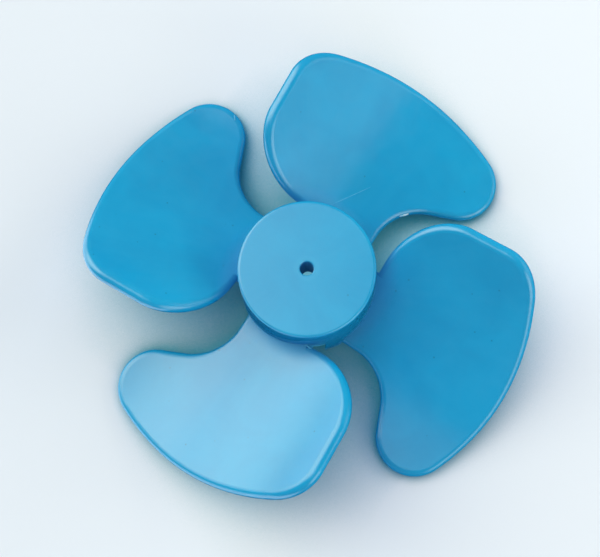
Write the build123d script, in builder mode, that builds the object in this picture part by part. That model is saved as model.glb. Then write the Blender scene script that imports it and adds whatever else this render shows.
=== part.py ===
# Axial fan impeller: four cambered blades on a drafted cup hub, moulded as one piece of plastic.
# The shaft runs along Z, with +Z towards the closed front of the hub.
# Z = 0 is the rear end of the bore's wall, where the shaft goes in.
import os
from math import cos, hypot, radians, sin, sqrt, tan

from build123d import *

os.makedirs("parts", exist_ok=True)

# Shaft fit, in the boss
bore_diameter = 3.15
bore_length = 12.6
boss_radius = 4.4
boss_draft = 1.0
bore_lead_in = 0.2

# Hub cup, open at the rear
hub_front_radius = 15.5
hub_height = 22.0
hub_draft = 1.8
hub_wall = 1.8
face_thickness = 2.2
front_round = 0.7
cup_corner_radius = 1.2

# Stiffening ribs between the boss and the cup's wall
rib_count = 4
rib_thickness = 1.4
rib_depth = 9.0
rib_angle = 45.0

# Blades, each curved about a line that is parallel to its middle line
blade_count = 4
tip_radius = 53.1
blade_thickness = 3.1
edge_flat = 0.1
camber_radius = 74.5
blade_pitch = 24.0
blade_seat_height = 6.1

# Blade outline, seen along the shaft, with the blade's own middle line along +Y
# The lobe on the +X side leads as the impeller turns clockwise, seen from the front
# The lobe's roundness is its corner radius as a share of its width, from the neck to the tip circle
shoulder_radius = 42.5
shoulder_angle = 8.3
trailing_side = -25.5
trailing_base = 13.4
trailing_lean = 2.9
trailing_tip_corner = 12.0
trailing_base_corner = 13.8
root_step_side = -9.5
leading_root_side = 7.7
neck_height = 26.4
neck_slope = 23.6
neck_radius = 13.0
lobe_roundness = 0.337

# Rear rim of the hub, which steps up beside each blade and then follows the blade's back
skirt_step_height = 9.0
skirt_step_width = 2.2

# Derived sizes
bore_radius = bore_diameter / 2
hub_front = bore_length + bore_lead_in
hub_rear = hub_front - hub_height
hub_rear_radius = hub_front_radius + hub_height * tan(radians(hub_draft))
root_radius = hub_front_radius - hub_wall / 2
cup_floor = hub_front - face_thickness
cup_front_radius = hub_front_radius + face_thickness * tan(radians(hub_draft)) - hub_wall
cup_rear_radius = hub_rear_radius - hub_wall
boss_end = -bore_lead_in
boss_end_radius = boss_radius - (cup_floor - boss_end) * tan(radians(boss_draft))
rib_end = cup_floor - rib_depth
edge_round = (blade_thickness - edge_flat) / 2
lobe_radius = lobe_roundness * (tip_radius - neck_height)
blade_seat = hub_rear + blade_seat_height
camber_centre = (
    camber_radius * sin(radians(blade_pitch)),
    blade_seat + camber_radius * cos(radians(blade_pitch)),
)
skirt_step = hub_rear + skirt_step_height
step_side = root_step_side - skirt_step_width


def on_ray(radius, angle):
    """Point at a radius, at an angle clockwise from the blade's middle line."""
    return (radius * sin(radians(angle)), radius * cos(radians(angle)))


def meet_circle(start, angle, radius, centre=(0, 0)):
    """Where a straight line that leaves a point inside a circle, at an angle to +X, meets the circle."""
    along = (cos(radians(angle)), sin(radians(angle)))
    offset = (start[0] - centre[0], start[1] - centre[1])
    nearest = offset[0] * along[0] + offset[1] * along[1]
    reach = sqrt(nearest**2 - offset[0] ** 2 - offset[1] ** 2 + radius**2) - nearest
    return (start[0] + reach * along[0], start[1] + reach * along[1])


def blade_back(x):
    """Point at x on the blade's back, seen along the blade."""
    centre_x, centre_z = camber_centre
    return (x, centre_z - sqrt((camber_radius + blade_thickness / 2) ** 2 - (x - centre_x) ** 2))


# Space in front of one blade's middle surface, cut to the blade's outline
with BuildPart() as blade_space:
    with BuildSketch(Plane.XY.offset(hub_rear - blade_thickness)) as outline:
        with BuildLine():
            step_foot = meet_circle((root_step_side, 0), 90, root_radius)
            step_top = (root_step_side, trailing_base)
            base_corner = (trailing_side, trailing_base)
            shoulder_centre = on_ray(tip_radius - shoulder_radius, shoulder_angle)
            tip_corner = meet_circle(base_corner, 90 + trailing_lean, shoulder_radius, shoulder_centre)
            shoulder_end = on_ray(tip_radius, shoulder_angle)
            neck = (leading_root_side, neck_height)
            lobe = meet_circle(neck, neck_slope, tip_radius)
            leading_foot = meet_circle((leading_root_side, 0), 90, root_radius)
            Polyline(step_foot, step_top, base_corner, tip_corner)
            RadiusArc(tip_corner, shoulder_end, shoulder_radius)
            RadiusArc(shoulder_end, lobe, tip_radius)
            Polyline(lobe, neck, leading_foot)
            RadiusArc(leading_foot, step_foot, -root_radius)
        make_face()
        for corner, radius in (
            (base_corner, trailing_base_corner),
            (tip_corner, trailing_tip_corner),
            (lobe, lobe_radius),
            (neck, neck_radius),
        ):
            fillet(outline.vertices().sort_by_distance(corner)[0], radius)
    extrude(amount=hub_height + camber_radius)
    with BuildSketch(Plane.XZ):
        with Locations(camber_centre):
            Circle(camber_radius)
    extrude(amount=tip_radius, both=True, mode=Mode.INTERSECT)
middle_surface = blade_space.faces().sort_by(Axis.Z)[0]

# One blade: the middle surface made thick, with its free edges fully rounded
with BuildPart() as blade:
    thicken(middle_surface, amount=blade_thickness / 2, both=True)
    broad_sides = blade.faces().sort_by(SortBy.AREA)[-2:]
    free_edges = broad_sides.edges().filter_by(
        lambda edge: hypot(edge.center().X, edge.center().Y) > (root_radius + hub_front_radius) / 2
    )
    fillet(free_edges, edge_round)

# Wedge of space behind one blade's root, which the cup's wall stops short of
with BuildPart() as skirt_relief:
    with BuildSketch(Plane.XZ):
        with BuildLine():
            step_low = (step_side, hub_rear - hub_wall)
            step_high = (step_side, skirt_step)
            land = (root_step_side, skirt_step)
            back_high = blade_back(root_step_side)
            back_low = blade_back(leading_root_side)
            rim_end = (leading_root_side, hub_rear - hub_wall)
            Polyline(step_low, step_high, land, back_high)
            RadiusArc(back_high, back_low, -camber_radius - blade_thickness / 2)
            Polyline(back_low, rim_end, step_low)
        make_face()
    extrude(amount=-2 * hub_rear_radius)

# The whole impeller: hub cup with its boss and ribs, then the blades around it
with BuildPart() as impeller:
    with BuildSketch(Plane.XZ) as cup_section:
        with BuildLine():
            front_edge = (hub_front_radius, hub_front)
            cup_corner = (cup_front_radius, cup_floor)
            bore_front = (bore_radius, hub_front)
            bore_rear = (bore_radius, boss_end)
            Polyline(
                bore_front,
                front_edge,
                (hub_rear_radius, hub_rear),
                (cup_rear_radius, hub_rear),
                cup_corner,
                (boss_radius, cup_floor),
                (boss_end_radius, boss_end),
                bore_rear,
                close=True,
            )
        make_face()
        fillet(cup_section.vertices().sort_by_distance(front_edge)[0], front_round)
        fillet(cup_section.vertices().sort_by_distance(cup_corner)[0], cup_corner_radius)
        for bore_end in (bore_front, bore_rear):
            chamfer(cup_section.vertices().sort_by_distance(bore_end)[0], bore_lead_in)
    revolve(axis=Axis.Z)
    with PolarLocations(0, blade_count):
        add(skirt_relief.part, mode=Mode.SUBTRACT)
    with BuildSketch(Plane.XY.offset(rib_end)):
        with PolarLocations((root_radius + boss_end_radius) / 2, rib_count, start_angle=rib_angle):
            Rectangle(root_radius - boss_end_radius, rib_thickness)
    extrude(amount=rib_depth + face_thickness / 2)
    with PolarLocations(0, blade_count):
        add(blade.part)

impeller.part.label = "impeller"
export_step(impeller.part, "parts/impeller.step")
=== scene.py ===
from math import cos, radians, sin

import bpy
import numpy as np
from mathutils import Matrix, Vector


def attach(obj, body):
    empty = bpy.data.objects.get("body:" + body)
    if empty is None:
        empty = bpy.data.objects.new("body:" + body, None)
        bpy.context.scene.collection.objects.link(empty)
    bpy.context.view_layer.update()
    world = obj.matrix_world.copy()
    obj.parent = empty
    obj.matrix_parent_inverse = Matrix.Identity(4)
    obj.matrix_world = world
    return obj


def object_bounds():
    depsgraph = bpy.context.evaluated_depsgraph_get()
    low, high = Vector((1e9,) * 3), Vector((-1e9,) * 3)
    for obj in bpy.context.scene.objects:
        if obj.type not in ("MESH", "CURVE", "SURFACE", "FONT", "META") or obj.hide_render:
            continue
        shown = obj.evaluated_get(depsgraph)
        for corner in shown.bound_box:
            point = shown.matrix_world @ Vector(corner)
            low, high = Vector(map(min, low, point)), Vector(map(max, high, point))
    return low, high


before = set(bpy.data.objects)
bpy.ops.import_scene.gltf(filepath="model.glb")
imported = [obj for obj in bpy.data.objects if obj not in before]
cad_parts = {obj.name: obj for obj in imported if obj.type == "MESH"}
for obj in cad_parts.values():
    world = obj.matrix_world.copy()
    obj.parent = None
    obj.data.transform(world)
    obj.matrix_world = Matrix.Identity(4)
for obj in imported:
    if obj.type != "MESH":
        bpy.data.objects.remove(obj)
cad_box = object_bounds()

MM = 0.001

# Camera: the photograph's viewing angle in degrees, and its offset from the hub's rear and its lens in mm
CAMERA_TILT = 10.0
CAMERA_AZIMUTH = 99.88
CAMERA_ROLL = -4.61
PART_TURN = -28.0
CAMERA_OFFSET = (2.15, -1.52, -277.38)
HUB_REAR = -9.2
LENS = 69.01
SENSOR_WIDTH = 36.0

# Directions of the light are given as the camera sees them: right, up and towards it
# Glows: soft bright parts of the surroundings, each fading from its middle out to its edge, in degrees
GLOWS = (
    dict(towards=(-0.70, 0.52, 0.45), middle=0.0, edge=42.0, strength=2.0),
    dict(towards=(-0.82, 0.55, 0.12), middle=5.0, edge=40.0, strength=1.25),
    dict(towards=(-0.40, 0.37, 0.84), middle=5.0, edge=30.0, strength=1.8),
    dict(towards=(-0.12, 0.02, 0.99), middle=0.0, edge=20.0, strength=0.55),
    dict(towards=(0.60, -0.62, 0.50), middle=6.0, edge=30.0, strength=1.8),
)

# Lamps: distance and size in metres
# The panel at the side shows in the plastic's gloss, and the fills only light it
LAMPS = (
    dict(name="side_panel", towards=(0.93, -0.13, 0.305), distance=0.70,
         width=0.80, height=0.62, watts=0.58, mirrored=True, tint="FFFFFF"),
    dict(name="right_fill", towards=(0.90, 0.30, 0.30), distance=0.80,
         width=0.60, height=0.60, watts=3.2, mirrored=False, tint="FFFCE8"),
    dict(name="upper_fill", towards=(0.10, 0.80, 0.60), distance=0.80,
         width=0.60, height=0.60, watts=1.7, mirrored=False, tint="CFE0FF"),
    dict(name="lower_fill", towards=(-0.20, -0.70, 0.60), distance=0.80,
         width=0.60, height=0.60, watts=1.5, mirrored=False, tint="B8D2FF"),
)

# Surroundings: their light on the part, and what the camera sees of them
AMBIENT = "EFF3E2"
AMBIENT_STRENGTH = 0.13
BACKDROP = "EFF2F5"

# Floor: sizes in metres, and the open share of the space above it at which its painted shade is full and
# gone
FLOOR_SIZE = 4.0
FLOOR_COLOUR = "ECEFFA"
FLOOR_ROUGHNESS = 0.8
FLOOR_SPECULAR = 0.2
FLOOR_PAINTED_SHADE = "44A4B8"
FLOOR_OPENNESS = (0.40, 0.86)
FLOOR_SHADE_REACH = 0.030
FLOOR_FADE = (0.14, 0.45)

# The floor as the plastic mirrors it, a painted reflection: dim, and glowing to one side as glare, from a
# start to full, in metres
FLOOR_MIRRORED = "1E6496"
FLOOR_GLARE_TOWARDS = (-0.90, -0.43, 0.0)
FLOOR_GLARE_START = 0.044
FLOOR_GLARE_FULL = 0.060
FLOOR_GLARE_STRENGTH = 0.9

# Painted light: a glowing spot on the floor, for light from beside the camera that falls through the bore,
# in mm
BORE_MIDDLE = 6.3
BORE_LIGHT_COLOUR = "64A4B2"
BORE_LIGHT_EDGE = 5.0
BORE_LIGHT_FULL = 3.0
BORE_LIGHT_STRENGTH = 0.9

# The blades' own curve, as the part has it, for marks that lie on their front
BLADE_COUNT = 4
BLADE_THICKNESS = 3.1
CAMBER_RADIUS = 74.5
BLADE_PITCH = 24.0
BLADE_SEAT = -3.1

# Rim of the hub's skirt beside each blade, where the two halves of the mould met
SKIRT_RIM_RADIUS = 15.9
SKIRT_RIM_HEIGHT = -0.2
SKIRT_RIM_SIDES = (-11.6, -9.5)

# Noise: the middle part of its values that is spread from 0 to 1, and how finely it is broken up
NOISE_SPREAD = (0.32, 0.68)
FLOW_SPREAD = (0.35, 0.65)
FINE_DETAIL = 2.0
OCCLUSION_SAMPLES = 8

# Plastic: sizes in mm, and the share of a second colour that each effect adds
BLUE_DEEP = "0F9BD2"
BLUE_LIGHT = "12A4DA"
BLUE_PALE = "42B5E1"
PLASTIC_IOR = 1.49
PLASTIC_SPECULAR = 1.0
CLOUD_SIZE = 14.0
CLOUD_DETAIL = 3.0
CLOUD_DISTORTION = 0.6
SMEAR_SIZE = 6.0
SMEAR_DETAIL = 5.0
SMEAR_DISTORTION = 1.8
SMEAR_SHARE = 0.04
PEEL_SIZE = 1.2
PEEL_DEPTH = 0.004
FLOW_RADIUS = 35.0
FLOW_SPACING = 2.5
FLOW_STRETCH = 1.5
FLOW_SHARE = 0.04
SPECK_COLOUR = "0B4F74"
SPECK_SPACING = 4.5
SPECK_RADIUS = 0.28
SPECK_CORE = 0.5
SPECK_SHARE = 0.4
# Ring round the shaft's hole: a painted highlight
RING_RADIUS = 2.4
RING_HALF_WIDTH = 0.8
RING_HIGHLIGHT_SHARE = 0.12
ROUGHNESS_CLEAN = 0.12
ROUGHNESS_SMEARED = 0.20

# Inside corners: painted shade, a deeper blue, with the open share of the space at which it starts and is
# full
CORNER_PAINTED_SHADE = "0A8DC8"
CORNER_REACH = 7.0
CORNER_ROUGHNESS = 0.75
CORNER_OPENNESS = (0.86, 0.52)

# Flash and rubbed edges: their pale colours partly painted highlight, and the torn flash's white partly a
# painted glint
FLASH_BLUE = "7CC8E8"
FLASH_GLINT_WHITE = "D9F0F8"
RUBBED_HIGHLIT_BLUE = "2FA9DC"
RUBBED_HIGHLIT_PALE = "5CC0E8"
FLASH_PATCH_SIZE = 0.8
FLASH_ROUGHNESS = 0.4

# Marks on the blades, each from one point to another in its blade's own frame, in mm
WITNESS_LINE = dict(blade=0, start=(-4.8, 17.5), end=(0.4, 26.6), width=0.20, height=0.08)
TIP_SCUFF = dict(blade=1, start=(24.6, 37.4), end=(25.8, 38.4), width=0.30, height=0.10)
NECK_FLASH = dict(blade=0, start=(9.7, 25.2, -5.55), end=(11.2, 27.0, -6.0), width=0.50, height=0.36)
ROOT_FLASH = dict(blade=2, start=(-8.3, 13.7, 3.1), end=(-10.0, 13.8, 3.5), width=0.36, height=0.30)
SKIRT_FLASH_WIDTH = 0.30
SKIRT_FLASH_HEIGHT = 0.24
SLIVER_STEPS = 24
SLIVER_SIDES = 10


def linear(hex_colour):
    """sRGB hex value to linear red, green, blue and alpha 1."""
    channels = [int(hex_colour[i:i + 2], 16) / 255 for i in (0, 2, 4)]
    return [c / 12.92 if c <= 0.04045 else ((c + 0.055) / 1.055) ** 2.4 for c in channels] + [1.0]


def add_node(tree, kind, settings=None, inputs=None):
    """Adds one node with its settings, and each input as a value or as a link from an output socket."""
    node = tree.nodes.new(kind)
    for name, value in (settings or {}).items():
        setattr(node, name, value)
    for name, value in (inputs or {}).items():
        if isinstance(value, bpy.types.NodeSocket):
            tree.links.new(value, node.inputs[name])
        else:
            node.inputs[name].default_value = value
    return node


def new_material(name):
    """Empty node material with its output node."""
    material = bpy.data.materials.new(name)
    material.use_nodes = True
    material.node_tree.nodes.clear()
    return material, material.node_tree, add_node(material.node_tree, "ShaderNodeOutputMaterial")


def blend(tree, factor, low, high):
    """Colour between two: the second where the factor is 1."""
    mix = add_node(tree, "ShaderNodeMix", {"data_type": "RGBA"}, {"Factor": factor})
    # Inputs 6 and 7 of the node are its two colours, and output 2 is their mix
    for socket, colour in ((mix.inputs[6], low), (mix.inputs[7], high)):
        if isinstance(colour, bpy.types.NodeSocket):
            tree.links.new(colour, socket)
        else:
            socket.default_value = colour
    return mix.outputs[2]


def calculated(tree, operation, first, second=0.0):
    """Result of one operation on one or two numbers."""
    return add_node(tree, "ShaderNodeMath", {"operation": operation}, {0: first, 1: second}).outputs[0]


def vector_node(tree, operation, first, second=(0, 0, 0)):
    """Node with one operation on one or two vectors."""
    return add_node(tree, "ShaderNodeVectorMath", {"operation": operation}, {0: first, 1: second})


def ramp(tree, value, start, end, low=0.0, high=1.0):
    """Straight ramp from the low value at the start to the high value at the end, and level beyond both."""
    return add_node(tree, "ShaderNodeMapRange", inputs={
        "Value": value, "From Min": start, "From Max": end, "To Min": low, "To Max": high}).outputs[0]


def eased(tree, value, start, end, high=1.0):
    """Smooth ramp from 0 at the start to the high value at the end, and level beyond both."""
    return add_node(tree, "ShaderNodeMapRange", {"interpolation_type": "SMOOTHSTEP"}, {
        "Value": value, "From Min": start, "From Max": end, "To Max": high}).outputs[0]


def open_share(tree, reach):
    """Share of the space above a surface, within the reach, that nothing closes off."""
    return add_node(tree, "ShaderNodeAmbientOcclusion", {"samples": OCCLUSION_SAMPLES}, {
        "Distance": reach}).outputs["AO"]


def noise(tree, vector, size_mm, detail, distortion=0.0):
    """Noise whose features are about as wide as the size, spread from 0 to 1."""
    texture = add_node(tree, "ShaderNodeTexNoise", inputs={
        "Vector": vector, "Scale": 1 / (size_mm * MM), "Detail": detail, "Distortion": distortion})
    return ramp(tree, texture.outputs[0], *NOISE_SPREAD)


def camera_turn():
    """Rotation from the part's frame to the camera's: the part turns on its axis, then tips by the tilt."""
    tip = Matrix.Rotation(radians(CAMERA_TILT), 3, "Y")
    about = Matrix.Rotation(radians(CAMERA_AZIMUTH), 3, "Z")
    back = Matrix.Rotation(radians(CAMERA_ROLL - CAMERA_AZIMUTH), 3, "Z")
    turn = Matrix.Rotation(radians(PART_TURN), 3, "Z")
    return about @ tip @ back @ turn


def place(obj, rotation, position):
    """Puts a lamp or the camera at a position with a 3x3 rotation."""
    obj.matrix_world = Matrix.Translation(position) @ rotation.to_4x4()


def add_camera(turn):
    """Camera at the photograph's angle, distance and focal length."""
    data = bpy.data.cameras.new("camera")
    data.lens = LENS
    data.sensor_width = SENSOR_WIDTH
    camera = bpy.data.objects.new("camera", data)
    bpy.context.scene.collection.objects.link(camera)
    position = -(turn.transposed() @ Vector(CAMERA_OFFSET)) + Vector((0, 0, HUB_REAR))
    place(camera, turn.transposed(), position * MM)
    bpy.context.scene.camera = camera


def add_lamp(turn, name, towards, distance, width, height, watts, mirrored, tint):
    """Rectangular soft lamp that faces the part from a direction given in the camera's frame."""
    data = bpy.data.lights.new(name, "AREA")
    data.shape = "RECTANGLE"
    data.size = width
    data.size_y = height
    data.energy = watts
    data.color = linear(tint)[:3]
    lamp = bpy.data.objects.new(name, data)
    lamp.visible_glossy = mirrored
    bpy.context.scene.collection.objects.link(lamp)
    direction = (turn.transposed() @ Vector(towards)).normalized()
    place(lamp, direction.to_track_quat("Z", "Y").to_matrix(), direction * distance)


def add_world(turn):
    """Surroundings that are plain and pale to the camera, and dim with soft glows to the part."""
    world = bpy.data.worlds.new("studio")
    bpy.context.scene.world = world
    world.use_nodes = True
    tree = world.node_tree
    tree.nodes.clear()
    ray = add_node(tree, "ShaderNodeTexCoord").outputs["Generated"]
    total = AMBIENT_STRENGTH
    for glow in GLOWS:
        direction = (turn.transposed() @ Vector(glow["towards"])).normalized()
        nearness = vector_node(tree, "DOT_PRODUCT", ray, direction).outputs["Value"]
        edge, middle = cos(radians(glow["edge"])), cos(radians(glow["middle"]))
        total = calculated(tree, "ADD", eased(tree, nearness, edge, middle, glow["strength"]), total)
    seen = add_node(tree, "ShaderNodeLightPath").outputs["Is Camera Ray"]
    strength = add_node(tree, "ShaderNodeMix", {"data_type": "FLOAT"}, {
        "Factor": seen, "A": total, "B": 1.0})
    shade = add_node(tree, "ShaderNodeBackground", inputs={
        "Color": blend(tree, seen, linear(AMBIENT), linear(BACKDROP)), "Strength": strength.outputs[0]})
    add_node(tree, "ShaderNodeOutputWorld", inputs={"Surface": shade.outputs[0]})


def bore_light(tree, turn, position, height):
    """Strength of the painted glow where the camera's line through the bore's middle meets the floor."""
    to_camera = turn.transposed() @ Vector((0, 0, 1))
    drop = (BORE_MIDDLE * MM - height) / to_camera.z
    spot = Vector((-drop * to_camera.x, -drop * to_camera.y, height))
    distance = vector_node(tree, "DISTANCE", position, spot).outputs["Value"]
    return eased(tree, distance, BORE_LIGHT_EDGE * MM, BORE_LIGHT_FULL * MM, BORE_LIGHT_STRENGTH)


def floor_material(turn, height):
    """Matt pale board under the part, which fades to the surroundings' white further off.

    Close to the part a painted shade darkens it, teal as the light that comes through the blue plastic. In
    the plastic's gloss it shows as a painted reflection: dim, with a painted glow of glare on its left side.
    A painted spot of light glows where the camera sees the floor through the bore.
    """
    material, tree, output = new_material("pale_board")
    position = add_node(tree, "ShaderNodeTexCoord").outputs["Object"]
    path = add_node(tree, "ShaderNodeLightPath")
    # Painted shade: the colour turns to a teal shade where the part closes off the space above the floor
    clear_of_painted_shade = ramp(tree, open_share(tree, FLOOR_SHADE_REACH), *FLOOR_OPENNESS)
    colour = blend(tree, clear_of_painted_shade, linear(FLOOR_PAINTED_SHADE), linear(FLOOR_COLOUR))

    # Painted reflection: in the plastic's gloss the floor's colour is dim, up to its left side, which glows
    # as glare
    direction = turn.transposed() @ Vector(FLOOR_GLARE_TOWARDS)
    leftward = vector_node(tree, "DOT_PRODUCT", position, direction).outputs["Value"]
    dull = eased(tree, leftward, FLOOR_GLARE_FULL, FLOOR_GLARE_START)
    dimmed = calculated(tree, "MULTIPLY", path.outputs["Is Glossy Ray"], dull)
    glaring = calculated(tree, "SUBTRACT", path.outputs["Is Glossy Ray"], dimmed)
    glare = calculated(tree, "MULTIPLY", glaring, FLOOR_GLARE_STRENGTH)
    # Painted light: the floor itself glows with the glare and with the spot under the bore
    glow = calculated(tree, "ADD", glare, bore_light(tree, turn, position, height))
    board = add_node(tree, "ShaderNodeBsdfPrincipled", inputs={
        "Base Color": blend(tree, dimmed, colour, linear(FLOOR_MIRRORED)),
        "Roughness": FLOOR_ROUGHNESS, "Specular IOR Level": FLOOR_SPECULAR, "Emission Strength": glow,
        "Emission Color": blend(tree, glaring, linear(BORE_LIGHT_COLOUR), linear(FLOOR_COLOUR))})

    # Further off the camera sees the surroundings' own white, so no edge of the board shows
    distance = vector_node(tree, "LENGTH", position).outputs["Value"]
    fading = calculated(tree, "MULTIPLY", path.outputs["Is Camera Ray"], eased(tree, distance, *FLOOR_FADE))
    white = add_node(tree, "ShaderNodeEmission", inputs={"Color": linear(BACKDROP)})
    mixed = add_node(tree, "ShaderNodeMixShader", inputs={
        0: fading, 1: board.outputs[0], 2: white.outputs[0]})
    tree.links.new(mixed.outputs[0], output.inputs["Surface"])
    return material


def add_floor(turn, height):
    """Square floor under the lobes that the part stands on."""
    half = FLOOR_SIZE / 2
    mesh = bpy.data.meshes.new("floor")
    corners = [(-half, -half, height), (half, -half, height), (half, half, height), (-half, half, height)]
    mesh.from_pydata(corners, [], [(0, 1, 2, 3)])
    floor = bpy.data.objects.new("floor", mesh)
    bpy.context.scene.collection.objects.link(floor)
    mesh.materials.append(floor_material(turn, height))


def flow_lines(tree, flat):
    """Noise on the direction from the shaft, so that it fans out from the gate in the hub's middle."""
    around = vector_node(tree, "NORMALIZE", flat).outputs[0]
    outward = vector_node(tree, "MULTIPLY", flat, (FLOW_STRETCH, FLOW_STRETCH, FLOW_STRETCH)).outputs[0]
    fan = vector_node(tree, "ADD", around, outward).outputs[0]
    texture = add_node(tree, "ShaderNodeTexNoise", inputs={
        "Vector": fan, "Scale": FLOW_RADIUS / FLOW_SPACING, "Detail": FINE_DETAIL})
    return ramp(tree, texture.outputs[0], *FLOW_SPREAD)


def plastic_material():
    """Moulded light blue polypropylene, glossy from a polished mould, with faint clouds in its pigment.

    Flow lines fan out from the gate, hazy handling smears dull the sheen, and a few specks of burnt pigment
    lie in the surface. A pale ring round the shaft's hole is a painted highlight, for the light that the
    slight edge round the hole catches, and a deeper blue in the inside corners is painted shade.
    """
    material, tree, output = new_material("moulded_blue_polypropylene")
    position = add_node(tree, "ShaderNodeTexCoord").outputs["Object"]
    flat = vector_node(tree, "MULTIPLY", position, (1, 1, 0)).outputs[0]
    clouds = noise(tree, position, CLOUD_SIZE, CLOUD_DETAIL, CLOUD_DISTORTION)
    smears = noise(tree, position, SMEAR_SIZE, SMEAR_DETAIL, SMEAR_DISTORTION)
    peel = noise(tree, position, PEEL_SIZE, FINE_DETAIL)

    colour = blend(tree, clouds, linear(BLUE_DEEP), linear(BLUE_LIGHT))
    streaked = calculated(tree, "MULTIPLY", flow_lines(tree, flat), FLOW_SHARE)
    colour = blend(tree, streaked, colour, linear(BLUE_PALE))
    hazy = calculated(tree, "MULTIPLY", smears, SMEAR_SHARE)
    colour = blend(tree, hazy, colour, linear(BLUE_PALE))

    # Specks: a dark dot where a scattered point lies close to the surface
    points = add_node(tree, "ShaderNodeTexVoronoi", inputs={
        "Vector": position, "Scale": 1 / (SPECK_SPACING * MM)})
    rim = SPECK_RADIUS / SPECK_SPACING
    speck = ramp(tree, points.outputs["Distance"], rim, SPECK_CORE * rim, high=SPECK_SHARE)
    colour = blend(tree, speck, colour, linear(SPECK_COLOUR))

    # Painted highlight, a pale ring round the shaft's hole: strongest at its own radius, and gone at its
    # half width to either side
    radius = vector_node(tree, "LENGTH", flat).outputs["Value"]
    off_ring = calculated(tree, "ABSOLUTE", calculated(tree, "SUBTRACT", radius, RING_RADIUS * MM))
    ring = eased(tree, off_ring, RING_HALF_WIDTH * MM, 0.0, RING_HIGHLIGHT_SHARE)
    colour = blend(tree, ring, colour, linear(BLUE_PALE))

    # Painted shade in the inside corners, where the blades meet the hub: the colour turns deeper blue
    #     # and the gloss duller where less of the space is open
    corner = eased(tree, open_share(tree, CORNER_REACH * MM), *CORNER_OPENNESS)
    colour = blend(tree, corner, colour, linear(CORNER_PAINTED_SHADE))
    polished = ramp(tree, smears, 0.0, 1.0, ROUGHNESS_CLEAN, ROUGHNESS_SMEARED)
    roughness = add_node(tree, "ShaderNodeMix", {"data_type": "FLOAT"}, {
        "Factor": corner, "A": polished, "B": CORNER_ROUGHNESS})
    bump = add_node(tree, "ShaderNodeBump", inputs={"Height": peel, "Distance": PEEL_DEPTH * MM})
    shade = add_node(tree, "ShaderNodeBsdfPrincipled", inputs={
        "Base Color": colour, "Roughness": roughness.outputs[0], "IOR": PLASTIC_IOR,
        "Specular IOR Level": PLASTIC_SPECULAR, "Normal": bump.outputs[0]})
    tree.links.new(shade.outputs[0], output.inputs["Surface"])
    return material


def flash_material(name, low, high):
    """Thin polypropylene edge, paler (partly a painted highlight) and duller where rubbed or torn, a little
    patchy.
    """
    material, tree, output = new_material(name)
    position = add_node(tree, "ShaderNodeTexCoord").outputs["Object"]
    patches = noise(tree, position, FLASH_PATCH_SIZE, FINE_DETAIL)
    shade = add_node(tree, "ShaderNodeBsdfPrincipled", inputs={
        "Base Color": blend(tree, patches, linear(low), linear(high)),
        "Roughness": FLASH_ROUGHNESS, "IOR": PLASTIC_IOR})
    tree.links.new(shade.outputs[0], output.inputs["Surface"])
    return material


def quarter_turn(points, blade):
    """Points of one blade's frame in the part's frame: turned about the shaft by a quarter turn a blade."""
    x, y, z = points.T
    across, along = cos(radians(90 * blade)), sin(radians(90 * blade))
    return np.stack([across * x - along * y, along * x + across * y, z], axis=1)


def blade_front(x):
    """Height of a blade's front: a circle about the camber's centre, smaller by half the thickness."""
    centre_x = CAMBER_RADIUS * sin(radians(BLADE_PITCH))
    centre_z = BLADE_SEAT + CAMBER_RADIUS * cos(radians(BLADE_PITCH))
    front_radius = CAMBER_RADIUS - BLADE_THICKNESS / 2
    return centre_z - np.sqrt(front_radius**2 - (x - centre_x) ** 2)


def straight_path(mark):
    """Points in equal steps from a mark's start to its end; one given by x and y alone lies on the blade."""
    start, end = np.array(mark["start"]), np.array(mark["end"])
    step = np.linspace(0.0, 1.0, SLIVER_STEPS)[:, None]
    points = start + (end - start) * step
    if points.shape[1] == 2:
        points = np.column_stack([points, blade_front(points[:, 0])])
    return quarter_turn(points, mark["blade"])


def skirt_path(blade):
    """Points along the skirt's rim: x in equal steps, y on the rim's circle, at the rim's height."""
    x = np.linspace(*SKIRT_RIM_SIDES, SLIVER_STEPS)
    y = np.sqrt(SKIRT_RIM_RADIUS**2 - x**2)
    return quarter_turn(np.stack([x, y, np.full_like(x, SKIRT_RIM_HEIGHT)], axis=1), blade)


def sliver_points(path, width, height):
    """Rings of points around a path, one after another, and then the point that closes each end.

    Around each point of the path runs an ellipse of the width and height, in the plane across the path. Both
    shrink towards the ends as the square root of sin(pi t).
    """
    t = np.linspace(0.0, 1.0, SLIVER_STEPS + 2)[1:-1]
    shrink = np.sqrt(np.sin(np.pi * t))[:, None, None]
    along = np.gradient(path, axis=0)
    along /= np.linalg.norm(along, axis=1, keepdims=True)
    side = np.cross(along, (0.0, 0.0, 1.0))
    side /= np.linalg.norm(side, axis=1, keepdims=True)
    up = np.cross(side, along)
    angle = np.linspace(0.0, 2 * np.pi, SLIVER_SIDES, endpoint=False)[None, :, None]
    ring = width / 2 * np.cos(angle) * side[:, None] + height / 2 * np.sin(angle) * up[:, None]
    body = (path[:, None] + shrink * ring).reshape(-1, 3)
    beyond = np.linalg.norm(path[-1] - path[0]) * t[0]
    ends = np.stack([path[0] - along[0] * beyond, path[-1] + along[-1] * beyond])
    return np.concatenate([body, ends])


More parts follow.
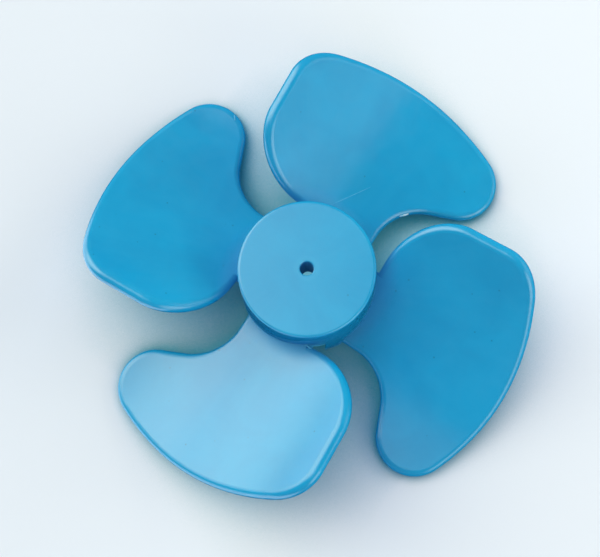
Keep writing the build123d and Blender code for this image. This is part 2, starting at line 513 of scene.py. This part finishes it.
def sliver_faces():
    """Quads between each ring and the next, and a fan of triangles at each end, all facing outward."""
    row = np.arange(SLIVER_STEPS - 1)[:, None] * SLIVER_SIDES
    around = np.arange(SLIVER_SIDES)
    onward = (around + 1) % SLIVER_SIDES
    near, near_next = row + around, row + onward
    quads = np.stack([near, near + SLIVER_SIDES, near_next + SLIVER_SIDES, near_next], axis=-1)
    last = (SLIVER_STEPS - 1) * SLIVER_SIDES
    first_end = SLIVER_STEPS * SLIVER_SIDES
    start_fan = np.stack([np.full_like(around, first_end), around, onward], axis=1)
    end_fan = np.stack([np.full_like(around, first_end + 1), last + onward, last + around], axis=1)
    return quads.reshape(-1, 4).tolist() + start_fan.tolist() + end_fan.tolist()


def add_sliver(name, path, width, height, material):
    """Thin closed sliver of plastic that stands out of the surface along a path."""
    mesh = bpy.data.meshes.new(name)
    mesh.from_pydata((sliver_points(path, width, height) * MM).tolist(), [], sliver_faces())
    mesh.shade_smooth()
    mesh.materials.append(material)
    sliver = bpy.data.objects.new(name, mesh)
    bpy.context.scene.collection.objects.link(sliver)
    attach(sliver, "root")


turn = camera_turn()
add_camera(turn)
for lamp in LAMPS:
    add_lamp(turn, **lamp)
add_world(turn)
add_floor(turn, cad_box[0][2])
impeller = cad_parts["impeller"]
impeller.material_slots[0].material = plastic_material()
# The plastic doesn't mirror the part itself, which would draw dark arcs across the blades
impeller.visible_glossy = False
# Pale slivers: the torn flash's near white is partly a painted glint, the rubbed edges' paler blue partly a
# painted highlight
torn = flash_material("torn_polypropylene_flash_with_painted_glint", FLASH_BLUE, FLASH_GLINT_WHITE)
rubbed = flash_material("rubbed_polypropylene_edge_with_painted_highlight", RUBBED_HIGHLIT_BLUE, RUBBED_HIGHLIT_PALE)
for name, mark, material in (
    ("witness_line", WITNESS_LINE, rubbed),
    ("tip_scuff", TIP_SCUFF, rubbed),
    ("neck_flash", NECK_FLASH, torn),
    ("root_flash", ROOT_FLASH, rubbed),
):
    add_sliver(name, straight_path(mark), mark["width"], mark["height"], material)
for blade in range(BLADE_COUNT):
    add_sliver(f"skirt_flash_{blade}", skirt_path(blade), SKIRT_FLASH_WIDTH, SKIRT_FLASH_HEIGHT, rubbed)

bpy.context.scene.view_settings.view_transform = "Standard"
